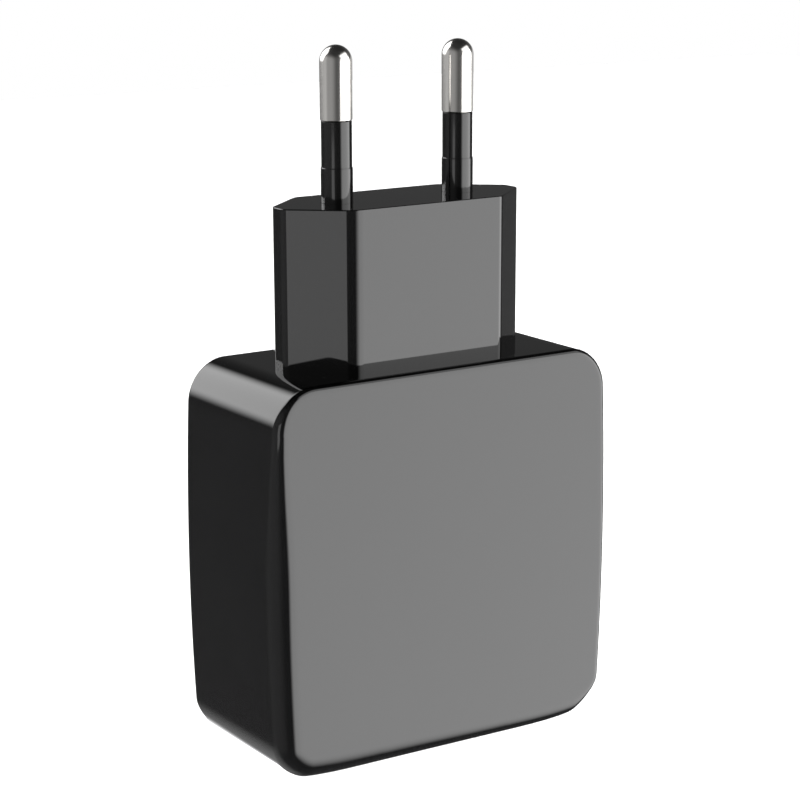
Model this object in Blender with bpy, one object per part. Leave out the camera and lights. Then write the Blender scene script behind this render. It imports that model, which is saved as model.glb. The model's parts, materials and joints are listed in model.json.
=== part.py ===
"""A two-port USB wall charger with a flat two-pin mains plug, as separate pieces.

Frame: metres, X across the wide face, Y through the thickness with the front face at -Y,
Z up with the plug pins at the top. The origin is on the middle of the USB end, at z = 0.
"""

import math

import bmesh
import bpy

MM = 0.001

# Body
BODY_WIDTH = 49.9 * MM
BODY_DEPTH = 22.4 * MM
BODY_HEIGHT = 49.6 * MM
TOP_CORNER = 5.3 * MM
BOTTOM_CORNER = 4.8 * MM
EDGE_FILLET = 0.8 * MM
SIDE_CROWN = 0.74 * MM
END_CROWN = 0.45 * MM
END_FLAT_HALF = 10.0 * MM

# Plug boss on top of the body, an octagon in plan
BOSS_WIDTH = 35.0 * MM
BOSS_DEPTH = 13.9 * MM
BOSS_HEIGHT = 19.75 * MM
BOSS_FACE_WIDTH = 22.5 * MM
BOSS_END_DEPTH = 2.56 * MM
BOSS_FACE_BEVEL = 0.69 * MM
BOSS_END_BEVEL = 0.55 * MM
BOSS_RIM_BEVEL = 0.15 * MM
BOSS_TOP = BODY_HEIGHT + BOSS_HEIGHT

# Housing walls
CAVITY_WIDTH = 42.0 * MM
CAVITY_DEPTH = 17.8 * MM
CAVITY_TOP = 47.4 * MM
BOSS_WALL = 1.9 * MM
BOSS_TOP_WALL = 2.2 * MM
POCKET_WIDTH = 43.6 * MM
POCKET_DEPTH = 19.0 * MM
POCKET_HEIGHT = 2.1 * MM
POCKET_CORNER = 2.5 * MM
COVER_GAP = 0.15 * MM
FIT_GAP = 0.3 * MM

# Plug pins
PIN_SPACING = 17.9 * MM
PIN_LENGTH = 19.0 * MM
PIN_RADIUS = 2.0 * MM
SHANK_RADIUS = 1.45 * MM
COLLAR_RADIUS = 2.6 * MM
SLEEVE_LENGTH = 10.0 * MM
SLEEVE_RADIUS = 1.89 * MM
SLEEVE_BASE_RADIUS = 1.97 * MM
SLEEVE_BASE_LENGTH = 4.3 * MM
SLEEVE_ROOT = -2.4 * MM
RUNNING_GAP = 0.05 * MM
PIN_TAIL = 9.6 * MM
COLLAR_BOTTOM = -4.4 * MM
COLLAR_TOP = -2.6 * MM

# Carrier behind the pins, and the spring leaf on each pin tail
CARRIER_BOTTOM = BOSS_TOP - 8.6 * MM
CARRIER_TOP = BOSS_TOP - 4.7 * MM
LEAF_HEIGHT = BOSS_TOP - 9.1 * MM
LEAF_WIDTH = 4.6 * MM
LEAF_THICKNESS = 0.4 * MM

# USB ports, one each side of the middle
PORT_SPACING = 20.0 * MM
SHELL_WIDTH = 13.1 * MM
SHELL_DEPTH = 5.7 * MM
SHELL_WALL = 0.35 * MM
SHELL_BOTTOM = 0.7 * MM
SHELL_TOP = 14.7 * MM
TONGUE_HALF_WIDTH = 5.6 * MM
TONGUE_FRONT = -1.86 * MM
TONGUE_BACK = -0.02 * MM
TONGUE_TIP = 2.5 * MM
BLOCK_BOTTOM = 10.8 * MM
CONTACT_PLACES = (-3.5 * MM, -1.0 * MM, 1.0 * MM, 3.5 * MM)
CONTACT_WIDTH = 0.9 * MM
CONTACT_THICKNESS = 0.25 * MM
CONTACT_AXIS_Y = -0.45 * MM
GROOVE_WIDTH = 1.2 * MM
GROOVE_FLOOR = -1.02 * MM

# Circuit board
BOARD_WIDTH = 40.8 * MM
BOARD_FRONT = 3.2 * MM
BOARD_BACK = 4.8 * MM
BOARD_BOTTOM = 2.6 * MM
BOARD_TOP = 45.6 * MM

ROUND_SEGMENTS = 24


def clear_scene():
    for thing in list(bpy.data.objects):
        bpy.data.objects.remove(thing, do_unlink=True)


def material(name, color, roughness, metallic=0.0):
    """A Principled material, made once for each name."""
    found = bpy.data.materials.get(name)
    if found:
        return found
    made = bpy.data.materials.new(name)
    made.use_nodes = True
    shader = made.node_tree.nodes["Principled BSDF"]
    shader.inputs["Base Color"].default_value = (*color, 1.0)
    shader.inputs["Roughness"].default_value = roughness
    shader.inputs["Metallic"].default_value = metallic
    made.diffuse_color = (*color, 1.0)
    return made


def add_object(name, bm, finish, smooth_angle=None):
    """Turns a bmesh into an object with outward faces."""
    bmesh.ops.recalc_face_normals(bm, faces=bm.faces)
    mesh = bpy.data.meshes.new(name)
    bm.to_mesh(mesh)
    bm.free()
    if finish:
        mesh.materials.append(finish)
    if smooth_angle is not None:
        mesh.shade_smooth()
        mesh.set_sharp_from_angle(angle=math.radians(smooth_angle))
    thing = bpy.data.objects.new(name, mesh)
    bpy.context.scene.collection.objects.link(thing)
    return thing


def combine(target, other, operation="DIFFERENCE"):
    """Cuts or joins another object, which then stays as a hidden helper."""
    modifier = target.modifiers.new(other.name, "BOOLEAN")
    modifier.operation = operation
    modifier.object = other
    other.hide_render = True
    other.display_type = "WIRE"
    return target


def loft(rings, closed=False):
    """Skins a list of rings of equal length; open lofts get end caps."""
    bm = bmesh.new()
    loops = [[bm.verts.new(point) for point in ring] for ring in rings]
    pairs = list(zip(loops, loops[1:]))
    if closed:
        pairs.append((loops[-1], loops[0]))
    for low, high in pairs:
        for i in range(len(low)):
            j = (i + 1) % len(low)
            bm.faces.new((low[i], low[j], high[j], high[i]))
    if not closed:
        bm.faces.new(loops[0][::-1])
        bm.faces.new(loops[-1])
    return bm


def block(name, x, y, z, finish=None, bevel=0.0):
    """A box between the given low and high values on each axis."""
    bm = bmesh.new()
    bmesh.ops.create_cube(bm, size=1.0)
    for vert in bm.verts:
        vert.co.x = x[0] if vert.co.x < 0 else x[1]
        vert.co.y = y[0] if vert.co.y < 0 else y[1]
        vert.co.z = z[0] if vert.co.z < 0 else z[1]
    if bevel:
        bmesh.ops.bevel(
            bm, geom=bm.edges[:], offset=bevel, segments=1, affect="EDGES", profile=0.5
        )
    return add_object(name, bm, finish)


def rounded_rectangle(half_x, half_y, radius, steps=4):
    """Points round a rectangle with arc corners, anticlockwise in plan."""
    points = []
    for corner, (sign_x, sign_y) in enumerate(((1, 1), (-1, 1), (-1, -1), (1, -1))):
        for step in range(steps + 1):
            angle = math.radians(90 * corner + 90 * step / steps)
            points.append(
                (
                    sign_x * (half_x - radius) + radius * math.cos(angle),
                    sign_y * (half_y - radius) + radius * math.sin(angle),
                )
            )
    return points


def rounded_prism(name, half_x, half_y, radius, z_low, z_high, finish=None, steps=4):
    outline = rounded_rectangle(half_x, half_y, radius, steps)
    return add_object(name, loft([[(x, y, z) for x, y in outline] for z in (z_low, z_high)]), finish)


def turned(name, profile, center, finish, axis="Z", segments=ROUND_SEGMENTS, closed=False):
    """Turns (radius, height) pairs about an axis through center; ends on the axis are poles."""
    def place(radius, height, angle):
        a = radius * math.cos(angle)
        b = radius * math.sin(angle)
        offset = {"Z": (a, b, height), "Y": (b, height, a), "X": (height, a, b)}[axis]
        return tuple(c + o for c, o in zip(center, offset))

    angles = [2 * math.pi * i / segments for i in range(segments)]
    bm = bmesh.new()
    rings = []
    for radius, height in profile:
        if radius == 0:
            rings.append([bm.verts.new(place(0, height, 0))])
        else:
            rings.append([bm.verts.new(place(radius, height, a)) for a in angles])
    pairs = list(zip(rings, rings[1:]))
    if closed:
        pairs.append((rings[-1], rings[0]))
    for low, high in pairs:
        for i in range(segments):
            j = (i + 1) % segments
            corners = [low[i], low[j]] if len(low) > 1 else [low[0]]
            corners += [high[j], high[i]] if len(high) > 1 else [high[0]]
            bm.faces.new(corners)
    return add_object(name, bm, finish, smooth_angle=35)


def side_prism(name, outline, x_low, x_high, finish):
    """Extrudes an outline of (y, z) points along X."""
    return add_object(name, loft([[(x, y, z) for y, z in outline] for x in (x_low, x_high)]), finish)


def strip_outline(path, thickness):
    """The outline of a bent strip of even thickness along (y, z) points."""
    sides = ([], [])
    for i, (y, z) in enumerate(path):
        before = path[max(i - 1, 0)]
        after = path[min(i + 1, len(path) - 1)]
        run_y = after[0] - before[0]
        run_z = after[1] - before[1]
        length = math.hypot(run_y, run_z)
        shift_y = -run_z / length * thickness / 2
        shift_z = run_y / length * thickness / 2
        sides[0].append((y + shift_y, z + shift_z))
        sides[1].append((y - shift_y, z - shift_z))
    return sides[0] + sides[1][::-1]


def crown(bm):
    """Swells the sides at mid height and lifts the ends of the bottom face."""
    half_width = BODY_WIDTH / 2
    half_height = BODY_HEIGHT / 2
    for vert in bm.verts:
        up = (vert.co.z - half_height) / half_height
        out = max(0.0, abs(vert.co.x) - END_FLAT_HALF) / (half_width - END_FLAT_HALF)
        if up < 0:
            vert.co.z += END_CROWN * out**2 * abs(up)
        vert.co.x *= 1 - SIDE_CROWN / half_width * up**2


def body_solid(name, finish=None):
    """The outside of the body: a box with round corners, filleted edges and crowned sides."""
    bm = bmesh.new()
    bmesh.ops.create_cube(bm, size=1.0)
    for vert in bm.verts:
        vert.co.x *= BODY_WIDTH
        vert.co.y *= BODY_DEPTH
        vert.co.z = (vert.co.z + 0.5) * BODY_HEIGHT
    middle = BODY_HEIGHT / 2
    for radius, above in ((TOP_CORNER, True), (BOTTOM_CORNER, False)):
        corners = [
            edge
            for edge in bm.edges
            if abs(edge.verts[0].co.y - edge.verts[1].co.y) > BODY_DEPTH / 2
            and (edge.verts[0].co.z > middle) == above
        ]
        bmesh.ops.bevel(
            bm, geom=corners, offset=radius, segments=6, affect="EDGES", profile=0.5
        )
    rims = [
        edge
        for edge in bm.edges
        if abs(edge.verts[0].co.y - edge.verts[1].co.y) < EDGE_FILLET
        and abs(abs(edge.verts[0].co.y) - BODY_DEPTH / 2) < EDGE_FILLET
    ]
    bmesh.ops.bevel(bm, geom=rims, offset=EDGE_FILLET, segments=3, affect="EDGES", profile=0.5)
    columns = (END_FLAT_HALF, 1.5 * END_FLAT_HALF)
    cuts = [((side * x, 0, 0), (1, 0, 0)) for side in (-1, 1) for x in columns]
    cuts += [((0, 0, share * BODY_HEIGHT), (0, 0, 1)) for share in (0.2, 0.35, 0.5, 0.65, 0.8)]
    for place, normal in cuts:
        bmesh.ops.bisect_plane(
            bm, geom=bm.verts[:] + bm.edges[:] + bm.faces[:], plane_co=place, plane_no=normal
        )
    crown(bm)
    return add_object(name, bm, finish, smooth_angle=30)


def boss_outline(inset=0.0):
    """The octagon of the boss in plan, moved in by inset, anticlockwise from +X."""
    half_face = BOSS_FACE_WIDTH / 2
    half_end = BOSS_END_DEPTH / 2
    run = (BOSS_WIDTH - BOSS_FACE_WIDTH) / 2
    rise = (BOSS_DEPTH - BOSS_END_DEPTH) / 2
    slope = math.atan2(rise, run)
    face_shift = inset * math.tan(slope / 2)
    end_shift = inset * math.tan((math.pi / 2 - slope) / 2)
    quarter = [
        (BOSS_WIDTH / 2 - inset, half_end - end_shift),
        (half_face - face_shift, BOSS_DEPTH / 2 - inset),
    ]
    mirrored = [(-x, y) for x, y in quarter[::-1]]
    upper = quarter + mirrored
    return upper + [(-x, -y) for x, y in upper]


def octagon_prism(name, inset, z_low, z_high, bevels=False, finish=None):
    outline = boss_outline(inset)
    bm = loft([[(x, y, z) for x, y in outline] for z in (z_low, z_high)])
    if bevels:
        for offset, at_face in ((BOSS_FACE_BEVEL, True), (BOSS_END_BEVEL, False)):
            uprights = [
                edge
                for edge in bm.edges
                if abs(edge.verts[0].co.z - edge.verts[1].co.z) > (z_high - z_low) / 2
                and (abs(edge.verts[0].co.y) > BOSS_DEPTH / 2 - RUNNING_GAP) == at_face
                and (at_face or abs(edge.verts[0].co.x) > BOSS_WIDTH / 2 - RUNNING_GAP)
            ]
            bmesh.ops.bevel(
                bm, geom=uprights, offset=offset, segments=3, affect="EDGES", profile=0.5
            )
        rim = [edge for edge in bm.edges if min(v.co.z for v in edge.verts) > z_high - RUNNING_GAP]
        bmesh.ops.bevel(
            bm, geom=rim, offset=BOSS_RIM_BEVEL, segments=1, affect="EDGES", profile=0.5
        )
    return add_object(name, bm, finish, smooth_angle=30)


def make_housing(finish):
    """One deep shell that includes the boss, open at the USB end."""
    housing = body_solid("main_housing", finish)
    boss = octagon_prism("boss_helper", 0, BODY_HEIGHT - 1.5 * MM, BOSS_TOP, bevels=True)
    combine(housing, boss, "UNION")
    cavity = rounded_prism(
        "cavity_cutter", CAVITY_WIDTH / 2, CAVITY_DEPTH / 2, 1.5 * MM, -1 * MM, CAVITY_TOP
    )
    combine(housing, cavity)
    boss_room = octagon_prism(
        "boss_cutter", BOSS_WALL, CAVITY_TOP - 1 * MM, BOSS_TOP - BOSS_TOP_WALL
    )
    combine(housing, boss_room)
    pocket = rounded_prism(
        "pocket_cutter", POCKET_WIDTH / 2, POCKET_DEPTH / 2, POCKET_CORNER, -1 * MM, POCKET_HEIGHT
    )
    combine(housing, pocket)
    for side in (-1, 1):
        radius = SLEEVE_BASE_RADIUS + RUNNING_GAP
        bore = [(0, -4 * MM), (radius, -4 * MM), (radius, 1 * MM), (0, 1 * MM)]
        place = (side * PIN_SPACING / 2, 0, BOSS_TOP)
        hole = turned(f"pin_hole_cutter_{side}", bore, place, None)
        combine(housing, hole)
        for low, high in (
            (BOARD_FRONT - FIT_GAP - 1 * MM, BOARD_FRONT - FIT_GAP),
            (BOARD_BACK + FIT_GAP, BOARD_BACK + FIT_GAP + 1 * MM),
        ):
            wall = CAVITY_WIDTH / 2
            ends = sorted((side * (wall - 1.6 * MM), side * (wall + 0.5 * MM)))
            rail = block(f"rail_{side}_{round(low / MM)}", ends, (low, high), (4 * MM, 40 * MM))
            combine(housing, rail, "UNION")
    return housing


def make_cover(finish):
    """The end cover: flush with the body, with a flared opening for each port."""
    cover = body_solid("usb_end_cover", finish)
    keep = rounded_prism(
        "cover_keeper", POCKET_WIDTH / 2 - COVER_GAP, POCKET_DEPTH / 2 - COVER_GAP,
        POCKET_CORNER - COVER_GAP, -1 * MM, POCKET_HEIGHT - COVER_GAP,
    )
    combine(cover, keep, "INTERSECT")
    for side in (-1, 1):
        low = CAVITY_DEPTH / 2 - 1.5 * MM
        high = CAVITY_DEPTH / 2 - FIT_GAP
        rows = sorted((side * low, side * high))
        tab = block(f"cover_tab_{side}", (-6 * MM, 6 * MM), rows, (1.2 * MM, 6.5 * MM))
        combine(cover, tab, "UNION")
        half_x = SHELL_WIDTH / 2 + FIT_GAP
        half_y = SHELL_DEPTH / 2 + FIT_GAP
        rings = []
        for z, flare in ((-1 * MM, 0.5 * MM), (0, 0.5 * MM), (0.5 * MM, 0), (4 * MM, 0)):
            outline = rounded_rectangle(half_x + flare, half_y + flare, 0.6 * MM + flare, 3)
            rings.append([(x + side * PORT_SPACING / 2, y, z) for x, y in outline])
        combine(cover, add_object(f"port_cutter_{side}", loft(rings), None))
    return cover


def make_pins(metal, sleeve_plastic, carrier_plastic, brass):
    """Each pin with its insulating sleeve, and the carrier that locks both pins in the boss."""
    center_height = PIN_LENGTH - PIN_RADIUS
    turns = [math.radians(15 * step) for step in range(6)]
    tip = [(PIN_RADIUS * math.cos(a), center_height + PIN_RADIUS * math.sin(a)) for a in turns]
    profile = [
        (0, -PIN_TAIL), (SHANK_RADIUS - 0.2 * MM, -PIN_TAIL), (SHANK_RADIUS, -PIN_TAIL + 0.2 * MM),
        (SHANK_RADIUS, COLLAR_BOTTOM), (COLLAR_RADIUS, COLLAR_BOTTOM), (COLLAR_RADIUS, COLLAR_TOP),
        (SHANK_RADIUS, COLLAR_TOP), (SHANK_RADIUS, SLEEVE_LENGTH), (PIN_RADIUS, SLEEVE_LENGTH),
        *tip, (0, PIN_LENGTH),
    ]
    inner = SHANK_RADIUS + RUNNING_GAP
    end = SLEEVE_LENGTH - RUNNING_GAP
    sleeve = [
        (inner, SLEEVE_ROOT), (SLEEVE_BASE_RADIUS, SLEEVE_ROOT),
        (SLEEVE_BASE_RADIUS, SLEEVE_BASE_LENGTH),
        (SLEEVE_RADIUS, SLEEVE_BASE_LENGTH + RUNNING_GAP), (SLEEVE_RADIUS, end), (inner, end),
    ]
    carrier = octagon_prism(
        "pin_carrier", BOSS_WALL + FIT_GAP, CARRIER_BOTTOM, CARRIER_TOP, finish=carrier_plastic
    )
    leaf_path = [
        (-2.4 * MM, LEAF_HEIGHT), (1.6 * MM, LEAF_HEIGHT), (2.4 * MM, LEAF_HEIGHT - 0.25 * MM),
        (2.65 * MM, LEAF_HEIGHT - 1.0 * MM), (2.65 * MM, BOARD_TOP - 3 * MM),
    ]
    for side, word in ((-1, "left"), (1, "right")):
        center = (side * PIN_SPACING / 2, 0, BOSS_TOP)
        turned(f"pin_{word}", profile, center, metal)
        turned(f"pin_sleeve_{word}", sleeve, center, sleeve_plastic, closed=True)
        bore = [(0, -12 * MM), (inner, -12 * MM), (inner, -4 * MM), (0, -4 * MM)]
        combine(carrier, turned(f"carrier_bore_{word}", bore, center, None))
        leaf = side_prism(
            f"mains_contact_{word}", strip_outline(leaf_path, LEAF_THICKNESS),
            center[0] - LEAF_WIDTH / 2, center[0] + LEAF_WIDTH / 2, brass,
        )
        combine(leaf, turned(f"leaf_bore_{word}", bore, center, None))


def make_port(side, word, steel, insulator, gold):
    """One USB socket: a folded shell, its tongue and the four contact springs."""
    x = side * PORT_SPACING / 2
    shell = block(
        f"usb_shell_{word}", (x - SHELL_WIDTH / 2, x + SHELL_WIDTH / 2),
        (-SHELL_DEPTH / 2, SHELL_DEPTH / 2), (SHELL_BOTTOM, SHELL_TOP), steel,
    )
    inner_x = SHELL_WIDTH / 2 - SHELL_WALL
    inner_y = SHELL_DEPTH / 2 - SHELL_WALL
    hollow = block(
        f"shell_cutter_{word}", (x - inner_x, x + inner_x), (-inner_y, inner_y),
        (SHELL_BOTTOM - 1 * MM, SHELL_TOP - SHELL_WALL),
    )
    combine(shell, hollow)
    window = (SHELL_BOTTOM + 3.2 * MM, SHELL_BOTTOM + 7.4 * MM)
    for place in (-3.2 * MM, 3.2 * MM):
        for edge in (-0.95 * MM, 0.95 * MM):
            middle = x + place + edge
            slit = block(
                f"slit_{word}_{round(place / MM)}_{round(edge / MM)}",
                (middle - 0.2 * MM, middle + 0.2 * MM), (-4 * MM, 4 * MM), window,
            )
            combine(shell, slit)
    block_half = SHELL_DEPTH / 2 - SHELL_WALL - FIT_GAP
    tongue = side_prism(
        f"usb_tongue_{word}",
        [
            (TONGUE_FRONT + 0.3 * MM, TONGUE_TIP), (TONGUE_BACK - 0.3 * MM, TONGUE_TIP),
            (TONGUE_BACK, TONGUE_TIP + 0.5 * MM), (TONGUE_BACK, BLOCK_BOTTOM),
            (block_half, BLOCK_BOTTOM), (block_half, SHELL_TOP - SHELL_WALL - FIT_GAP),
            (-block_half, SHELL_TOP - SHELL_WALL - FIT_GAP), (-block_half, BLOCK_BOTTOM),
            (TONGUE_FRONT, BLOCK_BOTTOM), (TONGUE_FRONT, TONGUE_TIP + 0.5 * MM),
        ],
        x - TONGUE_HALF_WIDTH, x + TONGUE_HALF_WIDTH, insulator,
    )
    spring_path = [
        (CONTACT_AXIS_Y, 12.3 * MM), (CONTACT_AXIS_Y, 8.6 * MM), (0.1 * MM, 6.0 * MM),
        (0.33 * MM, 5.1 * MM), (0.2 * MM, 4.2 * MM), (-0.3 * MM, 3.25 * MM),
    ]
    outline = strip_outline(spring_path, CONTACT_THICKNESS)
    for number, place in enumerate(CONTACT_PLACES, start=1):
        groove = block(
            f"groove_{word}_{number}",
            (x + place - GROOVE_WIDTH / 2, x + place + GROOVE_WIDTH / 2),
            (GROOVE_FLOOR, 0.4 * MM), (TONGUE_TIP + 0.4 * MM, 12.8 * MM),
        )
        combine(tongue, groove)
        spring = side_prism(
            f"usb_contact_{word}_{number}", outline,
            x + place - CONTACT_WIDTH / 2, x + place + CONTACT_WIDTH / 2, gold,
        )
        pivot = (x + place, CONTACT_AXIS_Y, BLOCK_BOTTOM)
        for vert in spring.data.vertices:
            vert.co.x -= pivot[0]
            vert.co.y -= pivot[1]
            vert.co.z -= pivot[2]
        spring.location = pivot


def make_board(finish):
    half = BOARD_WIDTH / 2
    chamfer = 2.5 * MM
    corners = [
        (-half, BOARD_BOTTOM), (half, BOARD_BOTTOM), (half, BOARD_TOP - chamfer),
        (half - chamfer, BOARD_TOP), (-half + chamfer, BOARD_TOP), (-half, BOARD_TOP - chamfer),
    ]
    rings = [[(x, y, z) for x, z in corners] for y in (BOARD_FRONT, BOARD_BACK)]
    return add_object("main_board", loft(rings), finish)


def square_ring(name, sizes, center, finish, axis="Z"):
    """A rectangular ring from (half width, half depth, height) steps round its section."""
    rings = []
    for half_a, half_b, along in sizes:
        ring = []
        for a, b in ((1, 1), (-1, 1), (-1, -1), (1, -1)):
            across = (b * half_b, along) if axis == "Z" else (along, b * half_b)
            ring.append(tuple(c + o for c, o in zip(center, (a * half_a, *across))))
        rings.append(ring)
    return add_object(name, loft(rings, closed=True), finish)


def make_transformer(ferrite, bobbin_plastic, tape, enamel):
    """Two E cores closed round a wound bobbin, with a band of tape."""
    center = (0, -2.6 * MM, 30 * MM)
    half = 8 * MM
    leg_half = 2.2 * MM
    window = 5.8 * MM
    back = 5 * MM
    core_depth = 2.5 * MM
    for side, word in ((1, "upper"), (-1, "lower")):
        shape = [
            (-half, 0.05 * MM), (-window, 0.05 * MM), (-window, back), (-leg_half, back),
            (-leg_half, 0.05 * MM), (leg_half, 0.05 * MM), (leg_half, back), (window, back),
            (window, 0.05 * MM), (half, 0.05 * MM), (half, half), (-half, half),
        ]
        rings = [
            [(center[0] + x, center[1] + y, center[2] + side * z) for x, z in shape]
            for y in (-core_depth, core_depth)
        ]
        add_object(f"transformer_core_{word}", loft(rings), ferrite)
    top = back - 0.15 * MM
    cheek = 0.8 * MM
    square_ring(
        "transformer_bobbin",
        [
            (2.4 * MM, 2.75 * MM, -top), (5.6 * MM, 5.4 * MM, -top), (5.6 * MM, 5.4 * MM, cheek - top),
            (3.0 * MM, 3.3 * MM, cheek - top), (3.0 * MM, 3.3 * MM, top - cheek),
            (5.6 * MM, 5.4 * MM, top - cheek), (5.6 * MM, 5.4 * MM, top), (2.4 * MM, 2.75 * MM, top),
        ],
        center, bobbin_plastic,
    )
    wound = top - cheek - 0.15 * MM
    square_ring(
        "transformer_winding",
        [(3.1 * MM, 3.4 * MM, -wound), (5.2 * MM, 5.1 * MM, -wound), (5.4 * MM, 5.3 * MM, 0),
         (5.2 * MM, 5.1 * MM, wound), (3.1 * MM, 3.4 * MM, wound)],
        center, enamel,
    )
    band = half + 0.1 * MM
    square_ring(
        "transformer_tape",
        [(band, band, -1.8 * MM), (band + 0.2 * MM, band + 0.2 * MM, -1.8 * MM),
         (band + 0.2 * MM, band + 0.2 * MM, 1.8 * MM), (band, band, 1.8 * MM)],
        center, tape, axis="Y",
    )


def make_capacitor(name, place, length, radius, finish):
    """A can lying along Z, with the rolled groove near its sealed end."""
    edge = 0.4 * MM
    profile = [
        (0, 0), (radius - edge, 0), (radius, edge), (radius, 1.4 * MM), (radius - edge, 1.8 * MM),
        (radius, 2.2 * MM), (radius, length - edge), (radius - edge, length), (0, length),
    ]
    turned(name, profile, place, finish, segments=20)


def make_small_parts(finishes):
    """The other parts on both sides of the board."""
    cans = {
        "bulk_capacitor_lower": ((-14.8, -1.6, 16.4), 13.8, 4.0),
        "bulk_capacitor_upper": ((-14.8, -1.6, 30.8), 13.8, 4.0),
        "output_capacitor_lower": ((13.6, -0.5, 16.4), 8.2, 3.15),
        "output_capacitor_upper": ((13.6, -0.5, 25.4), 8.2, 3.15),
    }
    for name, (place, length, radius) in cans.items():
        spot = tuple(value * MM for value in place)
        make_capacitor(name, spot, length * MM, radius * MM, finishes["can"])
    disc = [(0, -2.6 * MM), (2.2 * MM, -2.4 * MM), (3.6 * MM, -1.2 * MM), (3.8 * MM, 0),
            (3.6 * MM, 1.0 * MM), (2.2 * MM, 1.8 * MM), (0, 2.0 * MM)]
    place = (14 * MM, 0.8 * MM, 39 * MM)
    turned("safety_capacitor", disc, place, finishes["ceramic"], axis="Y", segments=20)
    drum = [(0, -4 * MM), (3.1 * MM, -4 * MM), (3.1 * MM, -3 * MM), (1.4 * MM, -3 * MM),
            (1.4 * MM, 2.2 * MM), (3.1 * MM, 2.2 * MM), (3.1 * MM, 3.2 * MM), (0, 3.2 * MM)]
    choke = (3.2 * MM, -0.4 * MM, 42.8 * MM)
    turned("filter_choke_core", drum, choke, finishes["ferrite"], axis="Y", segments=20)
    coil = [(1.55 * MM, -2.85 * MM), (2.8 * MM, -2.85 * MM), (2.9 * MM, 0), (2.8 * MM, 2.05 * MM),
            (1.55 * MM, 2.05 * MM)]
    turned(
        "filter_choke_winding", coil, choke, finishes["enamel"], axis="Y", segments=20, closed=True
    )
    fuse = [(0, -3.6 * MM), (1.3 * MM, -3.6 * MM), (1.7 * MM, -3.2 * MM), (1.7 * MM, -2.2 * MM),
            (1.5 * MM, -1.9 * MM), (1.5 * MM, 1.9 * MM), (1.7 * MM, 2.2 * MM), (1.7 * MM, 3.2 * MM),
            (1.3 * MM, 3.6 * MM), (0, 3.6 * MM)]
    place = (-4.4 * MM, 0.4 * MM, 42.8 * MM)
    turned("fuse_resistor", fuse, place, finishes["fuse"], axis="X", segments=16)
    chips = {
        "optocoupler": ((-3.2, 3.2), (-0.6, 2.9), (16.2, 20.8), "white_chip"),
        "bridge_rectifier": ((-15, -9), (5.1, 6.7), (36, 40.6), "chip"),
        "primary_controller": ((-6.5, -1.5), (5.1, 6.6), (28, 32), "chip"),
        "output_rectifier": ((9, 15.5), (5.1, 6.3), (24, 28.6), "chip"),
        "port_controller": ((-1.6, 1.6), (5.1, 6.2), (9, 11), "chip"),
    }
    for name, (x, y, z, finish) in chips.items():
        spans = [tuple(value * MM for value in span) for span in (x, y, z)]
        block(name, *spans, finishes[finish], bevel=0.2 * MM)
    sheets = {
        "thermal_pad": ((7, 17.5), (6.5, 8.1), (21, 32), "pad"),
        "insulation_sheet": ((-19, 19), (8.3, 8.6), (7, 44), "film"),
    }
    for name, (x, y, z, finish) in sheets.items():
        spans = [tuple(value * MM for value in span) for span in (x, y, z)]
        block(name, *spans, finishes[finish])


def main():
    clear_scene()
    gloss_black = material("gloss_black", (0.012, 0.012, 0.013), 0.08)
    cover_black = material("cover_black", (0.014, 0.014, 0.015), 0.25)
    sleeve_black = material("sleeve_black", (0.014, 0.014, 0.014), 0.18)
    carrier_white = material("carrier_white", (0.75, 0.74, 0.70), 0.5)
    nickel = material("nickel", (0.80, 0.79, 0.77), 0.12, 1.0)
    brass = material("brass", (0.80, 0.62, 0.28), 0.3, 1.0)
    steel = material("steel", (0.62, 0.62, 0.63), 0.25, 1.0)
    gold = material("gold", (0.85, 0.65, 0.30), 0.2, 1.0)
    tongue_black = material("tongue_black", (0.02, 0.02, 0.02), 0.45)
    board_green = material("board_green", (0.03, 0.18, 0.07), 0.4)
    ferrite = material("ferrite", (0.07, 0.07, 0.075), 0.6)
    bobbin = material("bobbin_plastic", (0.05, 0.045, 0.04), 0.5)
    tape = material("yellow_tape", (0.85, 0.62, 0.08), 0.45)
    enamel = material("copper_enamel", (0.55, 0.20, 0.07), 0.3, 0.6)
    finishes = {
        "can": material("capacitor_sleeve", (0.02, 0.03, 0.09), 0.35),
        "ceramic": material("blue_ceramic", (0.05, 0.20, 0.55), 0.4),
        "ferrite": ferrite,
        "enamel": enamel,
        "fuse": material("fuse_coating", (0.25, 0.42, 0.30), 0.5),
        "chip": material("chip_epoxy", (0.025, 0.025, 0.027), 0.5),
        "white_chip": material("opto_epoxy", (0.80, 0.80, 0.78), 0.5),
        "pad": material("thermal_silicone", (0.45, 0.50, 0.60), 0.7),
        "film": material("insulation_film", (0.80, 0.78, 0.66), 0.35),
    }
    make_housing(gloss_black)
    make_cover(cover_black)
    make_pins(nickel, sleeve_black, carrier_white, brass)
    for side, word in ((-1, "left"), (1, "right")):
        make_port(side, word, steel, tongue_black, gold)
    make_board(board_green)
    make_transformer(ferrite, bobbin, tape, enamel)
    make_small_parts(finishes)


main()
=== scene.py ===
import json
import math

import bmesh
import bpy
from mathutils import Matrix, Vector


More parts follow.
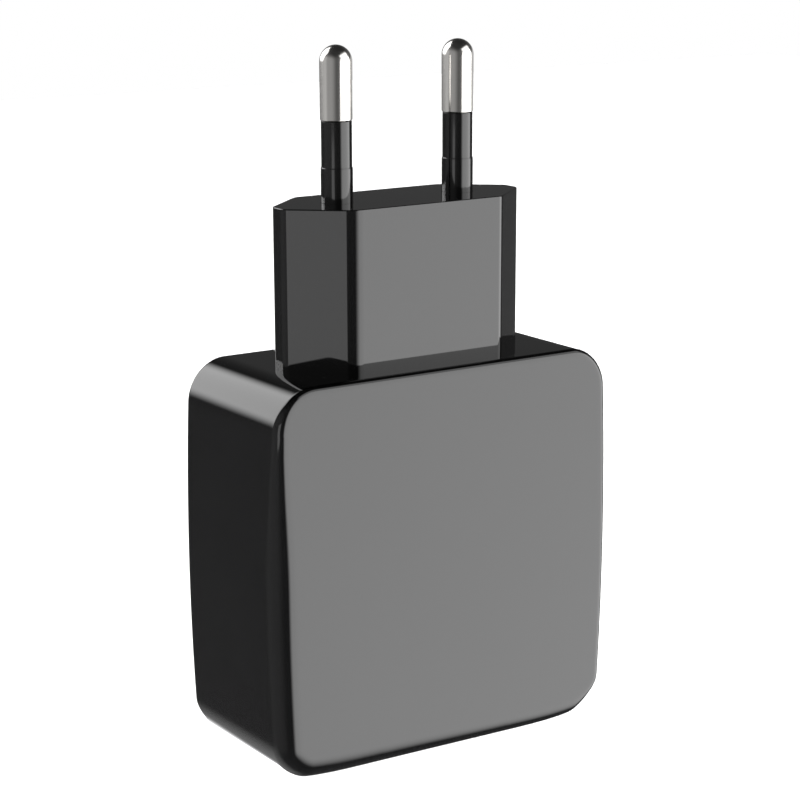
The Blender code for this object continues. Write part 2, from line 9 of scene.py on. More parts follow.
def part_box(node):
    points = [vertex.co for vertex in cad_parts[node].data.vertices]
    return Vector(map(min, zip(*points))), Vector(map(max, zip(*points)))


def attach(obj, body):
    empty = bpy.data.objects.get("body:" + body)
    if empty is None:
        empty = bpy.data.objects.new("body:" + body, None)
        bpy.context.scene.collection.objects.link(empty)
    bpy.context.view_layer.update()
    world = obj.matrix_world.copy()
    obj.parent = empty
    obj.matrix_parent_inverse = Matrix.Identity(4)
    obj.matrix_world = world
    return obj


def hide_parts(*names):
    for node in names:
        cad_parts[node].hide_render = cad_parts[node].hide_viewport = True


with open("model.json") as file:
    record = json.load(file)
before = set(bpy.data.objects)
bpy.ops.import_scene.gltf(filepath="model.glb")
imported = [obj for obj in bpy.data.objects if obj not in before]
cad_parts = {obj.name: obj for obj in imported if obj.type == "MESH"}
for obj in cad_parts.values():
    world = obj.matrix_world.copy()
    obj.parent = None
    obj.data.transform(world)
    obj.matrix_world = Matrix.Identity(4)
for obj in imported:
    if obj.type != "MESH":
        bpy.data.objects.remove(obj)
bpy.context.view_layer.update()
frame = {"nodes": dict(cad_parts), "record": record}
mm = 0.001
margin = 1 * mm   # how far a cutting tool reaches past the surface that it cuts
rangeSockets = ("From Min", "From Max", "To Min", "To Max")
print("frame loaded:", len(frame["nodes"]), "nodes")


def direction(azimuth, elevation):
    a, e = math.radians(azimuth), math.radians(elevation)
    return Vector((math.cos(a) * math.cos(e), math.sin(a) * math.cos(e), math.sin(e)))


def meshObject(name, bm):
    mesh = bpy.data.meshes.new(name)
    bm.to_mesh(mesh)
    bm.free()
    piece = bpy.data.objects.new(name, mesh)
    bpy.context.scene.collection.objects.link(piece)
    return piece


def cleaned(bm):
    bmesh.ops.remove_doubles(bm, verts=bm.verts, dist=0.000001)
    bmesh.ops.recalc_face_normals(bm, faces=bm.faces)
    return bm


def smoothed(piece, angle=32):
    piece.data.shade_smooth()
    piece.data.set_sharp_from_angle(angle=math.radians(angle))
    return piece


def baked(piece):
    # applies every modifier, so that the mesh holds the finished shape
    graph = bpy.context.evaluated_depsgraph_get()
    finished = bpy.data.meshes.new_from_object(piece.evaluated_get(graph))
    piece.modifiers.clear()
    piece.data = finished
    return piece


def joined(piece, tool, operation="DIFFERENCE"):
    step = piece.modifiers.new("joined", "BOOLEAN")
    step.operation = operation
    step.solver = "EXACT"
    step.object = tool
    baked(piece)
    bpy.data.objects.remove(tool, do_unlink=True)
    return piece


def weighted(piece):
    # large flat faces keep their own normal beside narrow fillets
    step = piece.modifiers.new("weighted", "WEIGHTED_NORMAL")
    step.mode = "FACE_AREA"
    step.weight = 50
    step.keep_sharp = True
    return piece


def finished(piece, body, slotName, material, *replaced):
    piece.data.materials.clear()
    piece.data.materials.append(material)
    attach(piece, body)
    if replaced:
        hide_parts(*replaced)
    return piece


def bevelled(bm, edges, offset, segments):
    bmesh.ops.bevel(
        bm, geom=edges, offset=offset, segments=segments, affect="EDGES", profile=0.5, material=-1
    )


def boxMesh(low, high):
    bm = bmesh.new()
    bmesh.ops.create_cube(bm, size=1.0)
    for axis in range(3):
        for vert in bm.verts:
            vert.co[axis] = low[axis] if vert.co[axis] < 0 else high[axis]
    return bm


def vertsOf(geometry):
    return [item for item in geometry if isinstance(item, bmesh.types.BMVert)]


def runsAlong(edge, axis):
    a, b = edge.verts
    return all(abs(a.co[i] - b.co[i]) < 1e-6 for i in range(3) if i != axis)


def roundedBox(low, high, radius, axis=2, segments=6):
    # a box whose four edges along one axis are rounded
    bm = boxMesh(low, high)
    bevelled(bm, [edge for edge in bm.edges if runsAlong(edge, axis)], radius, segments)
    return bm


class Paint:
    # one node material: a shader, with mottled colour, roughness and bump from noise
    def __init__(self, name, color, roughness, metallic=0.0):
        self.material = bpy.data.materials.new(name)
        self.material.use_nodes = True
        self.tree = self.material.node_tree
        self.shader = self.tree.nodes["Principled BSDF"]
        self.shader.inputs["Metallic"].default_value = metallic
        self.shader.inputs["Roughness"].default_value = roughness
        self.shader.inputs["Base Color"].default_value = (*color, 1)
        self.place = self.add("ShaderNodeTexCoord")
        self.color, self.roughness = color, roughness

    def add(self, kind, **values):
        node = self.tree.nodes.new(kind)
        for key, value in values.items():
            setattr(node, key, value)
        return node

    def join(self, source, target):
        self.tree.links.new(source, target)

    def set(self, **values):
        for key, value in values.items():
            self.shader.inputs[key.replace("_", " ")].default_value = value
        return self

    def spread(self, stretch):
        mapping = self.add("ShaderNodeMapping")
        mapping.inputs["Scale"].default_value = stretch
        self.join(self.place.outputs["Object"], mapping.inputs["Vector"])
        return mapping.outputs["Vector"]

    def noise(self, scale, stretch=(1, 1, 1), detail=3.0):
        node = self.add("ShaderNodeTexNoise")
        node.inputs["Scale"].default_value = scale
        node.inputs["Detail"].default_value = detail
        self.join(self.spread(stretch), node.inputs["Vector"])
        return node.outputs["Fac"]

    def bands(self, scale, axis):
        node = self.add("ShaderNodeTexWave", bands_direction=axis)
        node.inputs["Scale"].default_value = scale
        self.join(self.place.outputs["Object"], node.inputs["Vector"])
        return node.outputs["Fac"]

    def ranged(self, source, low, high, fromLow=0.3, fromHigh=0.7):
        node = self.add("ShaderNodeMapRange")
        for key, value in zip(rangeSockets, (fromLow, fromHigh, low, high)):
            node.inputs[key].default_value = value
        self.join(source, node.inputs["Value"])
        return node.outputs["Result"]

    def mottle(self, other, source, fromLow=0.35, fromHigh=0.65):
        mix = self.add("ShaderNodeMix", data_type="RGBA")
        mix.inputs["A"].default_value = (*self.color, 1)
        mix.inputs["B"].default_value = (*other, 1)
        self.join(self.ranged(source, 0, 1, fromLow, fromHigh), mix.inputs["Factor"])
        self.join(mix.outputs["Result"], self.shader.inputs["Base Color"])
        return self

    def polish(self, change, source):
        low, high = self.roughness - change, self.roughness + change
        self.join(self.ranged(source, low, high), self.shader.inputs["Roughness"])
        return self

    def relief(self, source, height, strength=1.0):
        bump = self.add("ShaderNodeBump")
        bump.inputs["Distance"].default_value = height
        bump.inputs["Strength"].default_value = strength
        self.join(source, bump.inputs["Height"])
        self.join(bump.outputs["Normal"], self.shader.inputs["Normal"])
        return self


def glossBlack():
    paint = Paint("glossBlackPlastic", (0.0038, 0.0038, 0.0041), 0.05)
    paint.set(IOR=1.5)
    paint.mottle((0.0050, 0.0050, 0.0053), paint.noise(140))
    paint.polish(0.012, paint.noise(420, detail=5))
    return paint.relief(paint.noise(260, detail=2), 0.0000006)


def coverBlack():
    paint = Paint("satinBlackPlastic", (0.006, 0.006, 0.0065), 0.24)
    paint.mottle((0.008, 0.008, 0.0085), paint.noise(200))
    paint.polish(0.04, paint.noise(900))
    return paint.relief(paint.noise(5200, detail=2), 0.000004)


def sleeveBlack():
    paint = Paint("sleeveBlackPlastic", (0.0045, 0.0045, 0.0045), 0.09)
    paint.mottle((0.006, 0.006, 0.006), paint.noise(240))
    paint.polish(0.02, paint.noise(700, (1, 1, 0.2)))
    return paint.relief(paint.noise(600), 0.0000008)


def nickelPlate():
    paint = Paint("nickelPlate", (0.66, 0.645, 0.625), 0.175, 1.0)
    paint.mottle((0.70, 0.685, 0.66), paint.noise(300, (1, 1, 0.15)))
    paint.polish(0.02, paint.noise(1400, (0.3, 0.3, 3)))
    return paint.relief(paint.noise(1800, (0.15, 0.15, 4), 2), 0.0000012)


def plainPaint(name, color, other, roughness, scale, height, metallic=0.0, stretch=(1, 1, 1)):
    paint = Paint(name, color, roughness, metallic)
    grain = paint.noise(scale, stretch)
    paint.mottle(other, grain)
    paint.polish(min(roughness, 1 - roughness) * 0.2, paint.noise(scale * 2, stretch))
    return paint.relief(paint.noise(scale * 1.7, stretch), height)


def drawnMetal(name, color, other, roughness, scale, height, grain):
    # bare sheet metal with its grain running upwards
    return plainPaint(name, color, other, roughness, scale, height, 1.0, (1, 1, grain))


def woundCopper(name, bright, scale, axis, height):
    # enamelled wire, its turns side by side along an axis
    paint = Paint(name, (0.34, 0.10, 0.035), 0.28, 0.85)
    turns = paint.bands(scale, axis)
    paint.mottle(bright, turns, 0.1, 0.9)
    paint.set(Coat_Weight=0.5, Coat_Roughness=0.12)
    return paint.relief(turns, height)


def boardGreen():
    # solder mask with faint tracks under it
    paint = Paint("solderMask", (0.010, 0.085, 0.030), 0.32)
    tracks = paint.add("ShaderNodeTexVoronoi", distance="MANHATTAN", feature="F1")
    tracks.inputs["Scale"].default_value = 260
    paint.join(paint.spread((1, 1, 1)), tracks.inputs["Vector"])
    paint.mottle((0.022, 0.15, 0.055), tracks.outputs["Distance"], 0.35, 0.5)
    paint.set(Coat_Weight=0.4, Coat_Roughness=0.15)
    return paint.relief(tracks.outputs["Distance"], 0.000012)


# a plain paint or drawn metal is given by its two colours, roughness, fineness of grain and relief
paints = {
    "gloss_black": glossBlack(),
    "cover_black": coverBlack(),
    "sleeve_black": sleeveBlack(),
    "nickel": nickelPlate(),
    "carrier_white": plainPaint("carrierWhite", (0.62, 0.60, 0.54), (0.70, 0.68, 0.62), 0.5, 300, 0.000004),
    "brass": drawnMetal("stampedBrass", (0.62, 0.42, 0.13), (0.74, 0.53, 0.20), 0.3, 500, 0.000003, 0.1),
    "steel": drawnMetal("platedSteel", (0.55, 0.55, 0.56), (0.66, 0.66, 0.66), 0.24, 700, 0.000002, 0.1),
    "gold": drawnMetal("goldFlash", (0.78, 0.52, 0.16), (0.88, 0.62, 0.22), 0.2, 900, 0.000002, 0.2),
    "tongue_black": plainPaint("tongueBlack", (0.012,) * 3, (0.018,) * 3, 0.42, 900, 0.000004),
    "board_green": boardGreen(),
    "ferrite": plainPaint("sinteredFerrite", (0.035, 0.035, 0.04), (0.07, 0.07, 0.075), 0.55, 2400, 0.00001),
    "bobbin_plastic": plainPaint(
        "bobbinPlastic", (0.03, 0.026, 0.022), (0.045, 0.04, 0.034), 0.5, 700, 0.000005
    ),
    "yellow_tape": plainPaint("polyesterTape", (0.70, 0.44, 0.03), (0.78, 0.52, 0.06), 0.35, 180, 0.00002),
    "copper_enamel": woundCopper("enamelledCopper", (0.72, 0.30, 0.11), 520, "Z", 0.00006),
    "capacitor_sleeve": plainPaint(
        "shrunkSleeve", (0.008, 0.014, 0.05), (0.012, 0.02, 0.07), 0.3, 240, 0.000012
    ),
    "blue_ceramic": plainPaint("dippedEpoxy", (0.03, 0.13, 0.42), (0.05, 0.18, 0.52), 0.33, 380, 0.00003),
    "fuse_coating": plainPaint("bakedCoating", (0.14, 0.30, 0.18), (0.20, 0.36, 0.23), 0.45, 600, 0.00001),
    "chip_epoxy": plainPaint("chipEpoxy", (0.014, 0.014, 0.015), (0.024, 0.024, 0.025), 0.55, 1600, 0.000006),
    "opto_epoxy": plainPaint("whiteEpoxy", (0.68, 0.68, 0.64), (0.76, 0.76, 0.73), 0.5, 1200, 0.000006),
    "thermal_silicone": plainPaint("siliconePad", (0.28, 0.33, 0.44), (0.34, 0.39, 0.50), 0.75, 500, 0.00002),
    "insulation_film": plainPaint(
        "insulationFilm", (0.66, 0.62, 0.45), (0.72, 0.69, 0.53), 0.3, 120, 0.00002
    ),
}
chokePaint = woundCopper("chokeCopper", (0.74, 0.32, 0.12), 620, "Y", 0.00005)
print("materials made:", len(paints) + 1)


housingLow, housingHigh = (Vector(corner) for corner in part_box("main_housing"))
coverHigh = Vector(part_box("usb_end_cover")[1])
housing = {
    "bodyHeight": 49.6 * mm,
    "topCorner": 5.3 * mm,
    "bottomCorner": 4.5 * mm,
    "topFillet": 0.8 * mm,        # rounds between the wide faces and the top, bottom and sides
    "bottomFillet": (2.2 * mm, 3.3 * mm),
    "crispFillet": 0.85 * mm,
    "softFillet": (1.3 * mm, 2.7 * mm),
    "softTop": 0.86,              # share of the half height where the soft side is tightest
    "sideCrown": 0.74 * mm,       # how far the sides draw in at the top and bottom
    "sag": 0.7 * mm,              # how far the middle of the bottom swells
    "endCrown": 1.45 * mm,        # how far the bottom rises again towards its ends
    "endFlat": 10 * mm,
    "bossSize": (35.0 * mm, 13.9 * mm),
    "bossFace": (21.5 * mm, 21.8 * mm),       # its two wide faces, to the soft and the crisp corner
    "bossEnd": 2.56 * mm,
    "bossFaceBevel": (1.15 * mm, 0.5 * mm),   # soft and crisp
    "bossEndBevel": 0.55 * mm,
    "bossRim": 0.16 * mm,
    "bossOverlap": 1.5 * mm,      # how deep the boss is sunk into the body before they are joined
    "bossWall": 1.9 * mm,
    "bossTopWall": 2.2 * mm,
    "cavity": (42.0 * mm, 17.8 * mm, 47.4 * mm),
    "cavityCorner": 1.5 * mm,
    "pocket": (43.6 * mm, 19.0 * mm, 2.1 * mm),
    "pocketCorner": 2.5 * mm,
    "pinHole": 2.02 * mm,         # radius
    "pinHoleReach": 4 * mm,
    "sideSlack": 0.1 * mm,        # how much wider each side is than the CAD body
    "cutStep": 2.4 * mm,          # spacing of the cuts that let the faces bend
    "cutCount": 8,
}
halfWidth = (housingHigh.x - housingLow.x) / 2 + housing["sideSlack"]
halfDepth = (housingHigh.y - housingLow.y) / 2
bossTop = housingHigh.z
pinX = sum(corner[0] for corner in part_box("pin_right")) / 2
# distances from the outline at which the wide faces are cut into rings, close where the fillet is steep
filletRings = [step * mm for step in (0.03, 0.1, 0.2, 0.35, 0.55, 0.8, 1.1, 1.45, 1.85, 2.3, 2.8, 3.3)]


def eased(value, start, end):
    share = min(1.0, max(0.0, (value - start) / (end - start)))
    return share * share * (3 - 2 * share)


def between(pair, share):
    return pair[0] + (pair[1] - pair[0]) * share


def rimShape(point):
    # how far a point lies inside the body's outline, and the fillet radius of the nearest rim;
    # each wide face is crisp along one side and soft along the other, which tightens upwards
    half = housing["bodyHeight"] / 2
    up = point.z - half
    corner = housing["topCorner"] if up > 0 else housing["bottomCorner"]
    x, z = abs(point.x) - halfWidth + corner, abs(up) - half + corner
    if x > 0 and z > 0:
        depth, upward = corner - math.hypot(x, z), z / math.hypot(x, z)
    else:
        depth, upward = corner - max(x, z), float(z > x)
    soft = between(housing["softFillet"], eased(up, housing["softTop"] * half, 0.0))
    across = math.copysign(point.x, point.x * point.y) / halfWidth
    side = between((housing["crispFillet"], soft), eased(across, -0.5, 0.5))
    if up > 0:
        end = housing["topFillet"]
    else:
        end = between(housing["bottomFillet"], eased(across, -1, 1))
    return depth, between((side, end), eased(upward, 0.1, 0.95))


def rounded(point):
    # rounds the rim of both wide faces
    depth, radius = rimShape(point)
    if depth < radius:
        drop = radius - math.sqrt(max(0.0, radius**2 - (radius - max(0.0, depth)) ** 2))
        point.y -= math.copysign(drop, point.y)


def crowned(point):
    # swells the sides at mid height and the bottom towards its middle
    up = (point.z - housing["bodyHeight"] / 2) / (housing["bodyHeight"] / 2)
    out = max(0.0, abs(point.x) - housing["endFlat"]) / (halfWidth - housing["endFlat"])
    if up < 0:
        point.z += (housing["endCrown"] * out**4 - housing["sag"]) * abs(up)
    point.x *= 1 - housing["sideCrown"] / halfWidth * up**2


def bodyMesh():
    bm = boxMesh((-halfWidth, -halfDepth, 0), (halfWidth, halfDepth, housing["bodyHeight"]))
    middle = housing["bodyHeight"] / 2
    for radius, above in ((housing["topCorner"], True), (housing["bottomCorner"], False)):
        corners = [e for e in bm.edges if runsAlong(e, 1) and (e.verts[0].co.z > middle) == above]
        bevelled(bm, corners, radius, segments=18)
    before = 0.0
    for ring in filletRings:
        wide = [face for face in bm.faces if abs(face.normal.y) > 0.99 and face.calc_area() > middle**2]
        bmesh.ops.inset_region(bm, faces=wide, thickness=ring - before, use_even_offset=True)
        before = ring
    steps = [count * housing["cutStep"] for count in range(-housing["cutCount"], housing["cutCount"] + 1)]
    cuts = [((x, 0, 0), (1, 0, 0)) for x in steps]
    cuts += [((side * housing["endFlat"], 0, 0), (1, 0, 0)) for side in (-1, 1)]
    cuts += [((0, 0, middle + z), (0, 0, 1)) for z in steps]
    for place, normal in cuts:
        everything = bm.verts[:] + bm.edges[:] + bm.faces[:]
        bmesh.ops.bisect_plane(bm, geom=everything, plane_co=place, plane_no=normal)
    for vert in bm.verts:
        rounded(vert.co)
        crowned(vert.co)
    return cleaned(bm)


def octagon(inset, low, high):
    # the boss is the same turned half round: two of its corners are soft and two crisp
    across, through = housing["bossSize"]
    wide, deep = across / 2 - inset, through / 2 - inset
    slope = math.atan2(through - housing["bossEnd"], across - sum(housing["bossFace"]) / 2)
    soft, crisp = (face / 2 - inset * math.tan(slope / 2) for face in housing["bossFace"])
    end = housing["bossEnd"] / 2 - inset * math.tan((math.pi / 2 - slope) / 2)
    bm = bmesh.new()
    upper = [(wide, end), (soft, deep), (-crisp, deep), (-wide, end)]
    outline = upper + [(-x, -y) for x, y in upper]
    base = bm.faces.new([bm.verts.new((x, y, low)) for x, y in outline])
    raised = bmesh.ops.extrude_face_region(bm, geom=[base])["geom"]
    bmesh.ops.translate(bm, verts=vertsOf(raised), vec=(0, 0, high - low))
    return cleaned(bm)


def bossMesh():
    bm = octagon(0, housing["bodyHeight"] - housing["bossOverlap"], bossTop)
    deep = housing["bossSize"][1] / 2
    uprights = [edge for edge in bm.edges if runsAlong(edge, 2)]
    faceEdges = [edge for edge in uprights if abs(edge.verts[0].co.y) > deep - 0.1 * mm]
    endEdges = [edge for edge in uprights if edge not in faceEdges]
    soft = [edge for edge in faceEdges if edge.verts[0].co.x * edge.verts[0].co.y > 0]
    crisp = [edge for edge in faceEdges if edge not in soft]
    softBevel, crispBevel = housing["bossFaceBevel"]
    bevelled(bm, soft, softBevel, segments=12)
    bevelled(bm, [edge for edge in crisp if edge.is_valid], crispBevel, segments=6)
    bevelled(bm, [edge for edge in endEdges if edge.is_valid], housing["bossEndBevel"], segments=8)
    rim = [edge for edge in bm.edges if min(v.co.z for v in edge.verts) > bossTop - 0.01 * mm]
    bevelled(bm, rim, housing["bossRim"], segments=3)
    return cleaned(bm)


def makeHousing():
    shell = meshObject("housing", bodyMesh())
    joined(shell, meshObject("bossTool", bossMesh()), "UNION")
    wide, deep, top = housing["cavity"]
    room = roundedBox((-wide / 2, -deep / 2, -margin), (wide / 2, deep / 2, top), housing["cavityCorner"])
    joined(shell, meshObject("roomTool", room))
    bossRoom = octagon(housing["bossWall"], top - margin, bossTop - housing["bossTopWall"])
    joined(shell, meshObject("bossRoomTool", bossRoom))
    wide, deep, top = housing["pocket"]
    low, high = (-wide / 2, -deep / 2, -margin), (wide / 2, deep / 2, top)
    joined(shell, meshObject("seatTool", roundedBox(low, high, housing["pocketCorner"], segments=10)))
    radius, depth = housing["pinHole"], 2 * housing["pinHoleReach"]
    for side in (-1, 1):
        hole = bmesh.new()
        bmesh.ops.create_cone(hole, cap_ends=True, segments=64, radius1=radius, radius2=radius, depth=depth)
        bmesh.ops.translate(hole, verts=hole.verts, vec=(side * pinX, 0, bossTop))
        joined(shell, meshObject("holeTool", hole))
    return weighted(smoothed(shell, 28))


shell = finished(makeHousing(), "charger", "gloss_black", paints["gloss_black"].material, "main_housing")
print("housing made")


cover = {
    "gap": 0.15 * mm,
    "corner": 2.35 * mm,
    "portGap": 0.3 * mm,          # room round each socket, and inside the housing's wall
    "portCorner": 0.6 * mm,
    "portReach": 4 * mm,
    "flare": 0.5 * mm,            # how far each port widens towards its mouth
    "flareSteps": 6,
    "tab": (6 * mm, 1.2 * mm),    # half width and thickness of the tabs that grip the housing
    "tabBottom": 1.2 * mm,
}


def flaredPort(low, high):
    # a prism whose mouth widens in a quarter round towards the outside
    bottom = cover["flare"] - housing["sag"]
    top = cover["portReach"]
    bm = roundedBox((low.x, low.y, bottom), (high.x, high.y, top), cover["portCorner"], segments=8)
    center = (low + high) / 2
    mouth = [face for face in bm.faces if face.normal.z < -0.9]
    steps = cover["flareSteps"]
    for step in range(1, steps + 1):
        made = bmesh.ops.extrude_face_region(bm, geom=mouth)["geom"]
        bmesh.ops.delete(bm, geom=mouth, context="FACES_ONLY")
        mouth = [item for item in made if isinstance(item, bmesh.types.BMFace)]
        angle = math.pi / 2 * step / steps
        before = math.pi / 2 * (step - 1) / steps
        grow = cover["flare"] * (math.cos(before) - math.cos(angle))
        drop = cover["flare"] * (math.sin(angle) - math.sin(before))
        for vert in {v for face in mouth for v in face.verts}:
            vert.co.z -= drop
            vert.co.x += math.copysign(grow, vert.co.x - center.x)
            vert.co.y += math.copysign(grow, vert.co.y - center.y)
    made = bmesh.ops.extrude_face_region(bm, geom=mouth)["geom"]
    bmesh.ops.delete(bm, geom=mouth, context="FACES_ONLY")
    bmesh.ops.translate(bm, verts=vertsOf(made), vec=(0, 0, -margin))
    return cleaned(bm)


def makeCover():
    plate = meshObject("endCover", bodyMesh())
    wide, deep = coverHigh.x, coverHigh.y
    top = housing["pocket"][2] - cover["gap"]
    keep = roundedBox((-wide, -deep, -margin), (wide, deep, top), cover["corner"], segments=10)
    joined(plate, meshObject("keepTool", keep), "INTERSECT")
    tabWidth, tabDepth = cover["tab"]
    inner = housing["cavity"][1] / 2 - cover["portGap"]
    for side in (-1, 1):
        rows = sorted((side * inner, side * (inner - tabDepth)))
        tab = boxMesh((-tabWidth, rows[0], cover["tabBottom"]), (tabWidth, rows[1], coverHigh.z))
        joined(plate, meshObject("tabTool", tab), "UNION")
    for word in ("left", "right"):
        low, high = (Vector(corner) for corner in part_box(f"usb_shell_{word}"))
        room = Vector((cover["portGap"], cover["portGap"], 0))
        joined(plate, meshObject("portTool", flaredPort(low - room, high + room)))
    return weighted(smoothed(plate, 28))


endCover = finished(makeCover(), "charger", "cover_black", paints["cover_black"].material, "usb_end_cover")
print("end cover made")


pin = {
    "radius": 2.0 * mm,
    "length": 19 * mm,            # above the boss
    "shank": 1.45 * mm,           # radius inside the sleeve
    "collar": 2.6 * mm,           # radius of the ring that the carrier holds
    "collarRows": (-4.4 * mm, -2.6 * mm),
    "tail": 9.6 * mm,             # below the top of the boss
    "tailEdge": 0.2 * mm,
    "sleeveLength": 10 * mm,
    "shoulder": 0.12 * mm,        # round where the bare metal meets the sleeve
    "shoulderSteps": 3,
    "tipSteps": 14,
}
sleeve = {
    "bore": 1.5 * mm,             # this and the next two are radii
    "upper": 1.89 * mm,
    "base": 1.97 * mm,
    "baseLength": 4.3 * mm,
    "root": 2.4 * mm,
    "edge": 0.09 * mm,
    "endGap": 0.05 * mm,
}


def spun(name, profile, center, steps=96, closed=False):
    # turns a profile of (radius, height) about the pin's axis
    bm = bmesh.new()
    verts = [bm.verts.new((radius, 0, height)) for radius, height in profile]
    pairs = list(zip(verts, verts[1:])) + ([(verts[-1], verts[0])] if closed else [])
    edges = [bm.edges.new(pair) for pair in pairs]
    bmesh.ops.spin(
        bm, geom=verts + edges, cent=(0, 0, 0), axis=(0, 0, 1), angle=2 * math.pi,
        steps=steps, use_merge=True, use_duplicate=False,
    )
    bmesh.ops.translate(bm, verts=bm.verts, vec=center)
    return meshObject(name, cleaned(bm))


def pinProfile():
    r, top, s = pin["radius"], pin["length"], pin["shoulder"]
    shank, tail, edge = pin["shank"], pin["tail"], pin["tailEdge"]
    low, high = pin["collarRows"]
    points = [(0, -tail), (shank - edge, -tail), (shank, edge - tail)]
    points += [(shank, low), (pin["collar"], low), (pin["collar"], high), (shank, high)]
    points.append((shank, pin["sleeveLength"]))
    for step in range(pin["shoulderSteps"] + 1):
        angle = math.pi / 2 * step / pin["shoulderSteps"]
        points.append((r - s + s * math.sin(angle), pin["sleeveLength"] + s - s * math.cos(angle)))
    for step in range(pin["tipSteps"] + 1):
        angle = math.pi / 2 * step / pin["tipSteps"]
        points.append((max(0.0, r * math.cos(angle)), top - r + r * math.sin(angle)))
    points[-1] = (0, top)
    return points


def sleeveProfile():
    end, e = pin["sleeveLength"] - sleeve["endGap"], sleeve["edge"]
    return [
        (sleeve["bore"], -sleeve["root"]), (sleeve["base"], -sleeve["root"]),
        (sleeve["base"], sleeve["baseLength"] - e), (sleeve["base"] - e / 3, sleeve["baseLength"] - e / 3),
        (sleeve["upper"], sleeve["baseLength"] + e / 2), (sleeve["upper"], end - e),
        (sleeve["upper"] - e / 3, end - e / 3), (sleeve["upper"] - e, end), (sleeve["bore"], end),
    ]


pinPieces, sleevePieces = [], []
for side, word in ((-1, "left"), (1, "right")):
    center = (side * pinX, 0, bossTop)
    blade = weighted(smoothed(spun(f"plugPin_{word}", pinProfile(), center), 40))
    finished(blade, "charger", "nickel", paints["nickel"].material, f"pin_{word}")
    collar = weighted(smoothed(spun(f"pinSleeve_{word}", sleeveProfile(), center, closed=True), 50))
    finished(collar, "charger", "sleeve_black", paints["sleeve_black"].material, f"pin_sleeve_{word}")
    pinPieces.append(blade)
    sleevePieces.append(collar)
print("pins and sleeves made")


socket = {
    "wall": 0.35 * mm,
    "corner": 0.7 * mm,
    "slit": 0.4 * mm,             # two slits free each spring tab of the shell
    "slitRows": (3.2 * mm, 7.4 * mm),
    "slitReach": 4 * mm,
    "tabPlace": 3.2 * mm,
    "tabHalf": 0.95 * mm,
    "edge": 0.06 * mm,
}


def softenedCopy(name, node, width, segments=2):
    # a merged copy of a CAD node with its hard edges eased
    source = frame["nodes"][node]
    bm = bmesh.new()
    bm.from_mesh(source.data)
    bm.transform(source.matrix_world)
    bmesh.ops.remove_doubles(bm, verts=bm.verts, dist=0.000002)
    bmesh.ops.dissolve_limit(bm, angle_limit=math.radians(2), verts=bm.verts, edges=bm.edges)
    piece = meshObject(name, bm)
    ease = piece.modifiers.new("eased", "BEVEL")
    ease.width = width
    ease.segments = segments
    ease.limit_method = "ANGLE"
    ease.angle_limit = math.radians(40)
    ease.use_clamp_overlap = True
    return smoothed(baked(piece), 40)


def makeShell(word):
    low, high = (Vector(corner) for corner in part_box(f"usb_shell_{word}"))
    bm = roundedBox(low, high, socket["corner"])
    bmesh.ops.delete(bm, geom=[face for face in bm.faces if face.normal.z < -0.9], context="FACES_ONLY")
    case = meshObject(f"socketShell_{word}", bm)
    wall = case.modifiers.new("wall", "SOLIDIFY")
    wall.thickness = socket["wall"]
    wall.offset = -1
    wall.use_even_offset = True
    baked(case)
    middle = (low + high) / 2
    half, reach = socket["slit"] / 2, socket["slitReach"]
    bottom, top = (low.z + row for row in socket["slitRows"])
    for place in (-socket["tabPlace"], socket["tabPlace"]):
        for edge in (-socket["tabHalf"], socket["tabHalf"]):
            x = middle.x + place + edge
            joined(case, meshObject("slitTool", boxMesh((x - half, -reach, bottom), (x + half, reach, top))))
    return smoothed(case, 32)


endPieces = [endCover]
for word in ("left", "right"):
    metal = finished(makeShell(word), "charger", "steel", paints["steel"].material, f"usb_shell_{word}")
    tongue = softenedCopy(f"socketTongue_{word}", f"usb_tongue_{word}", socket["edge"])
    finished(tongue, "charger", "tongue_black", paints["tongue_black"].material, f"usb_tongue_{word}")
    endPieces += [metal, tongue]
    for number in range(1, 5):
        node = f"usb_contact_{word}_{number}"
        spring = softenedCopy(f"contactSpring_{word}_{number}", node, socket["edge"] / 2)
        endPieces.append(finished(spring, f"{word}_port_springs", "gold", paints["gold"].material, node))
print("sockets made")


replacedNodes = {"main_housing", "usb_end_cover"}
for word in ("left", "right"):
    replacedNodes |= {f"pin_{word}", f"pin_sleeve_{word}", f"usb_shell_{word}", f"usb_tongue_{word}"}
    replacedNodes |= {f"usb_contact_{word}_{number}" for number in range(1, 5)}
slots = {part["node"]: part["material_slot"] for part in frame["record"]["subparts"]}
for node, carried in frame["nodes"].items():
    if node in replacedNodes:
        continue
    paint = chokePaint if node == "filter_choke_winding" else paints[slots[node]]
    carried.material_slots[0].material = paint.material
print("inner parts painted:", len(frame["nodes"]) - len(replacedNodes))


view = {
    "azimuth": 33.62,
    "elevation": 14.73,
    "roll": -0.147,
    "distance": 290.3 * mm,
    "aim": 35.0 * mm,             # height of the point looked at
    "focal": 2.83375,             # focal length in frame widths
    "shift": (0.0015, 0.0799),
    "sensor": 36,
}


def facing(place, right, up, back):
    return Matrix.Translation(place) @ Matrix((right, up, back)).transposed().to_4x4()


def makeCamera():
    lens = bpy.data.cameras.new("camera")
    camera = bpy.data.objects.new("camera", lens)
    bpy.context.scene.collection.objects.link(camera)
    back = direction(270 - view["azimuth"], view["elevation"])
    level = Vector((math.cos(math.radians(view["azimuth"])), -math.sin(math.radians(view["azimuth"])), 0))
    right = Matrix.Rotation(math.radians(view["roll"]), 3, back) @ level
    place = Vector((0, 0, view["aim"])) + back * view["distance"]
    camera.matrix_world = facing(place, right, back.cross(right), back)
    lens.sensor_width = view["sensor"]
    lens.lens = view["sensor"] * view["focal"]
    lens.shift_x, lens.shift_y = view["shift"]
    lens.clip_start = 0.01
    bpy.context.scene.camera = camera


def addNode(tree, kind, **values):
    node = tree.nodes.new(kind)
    for key, value in values.items():
        setattr(node, key, value)
    return node


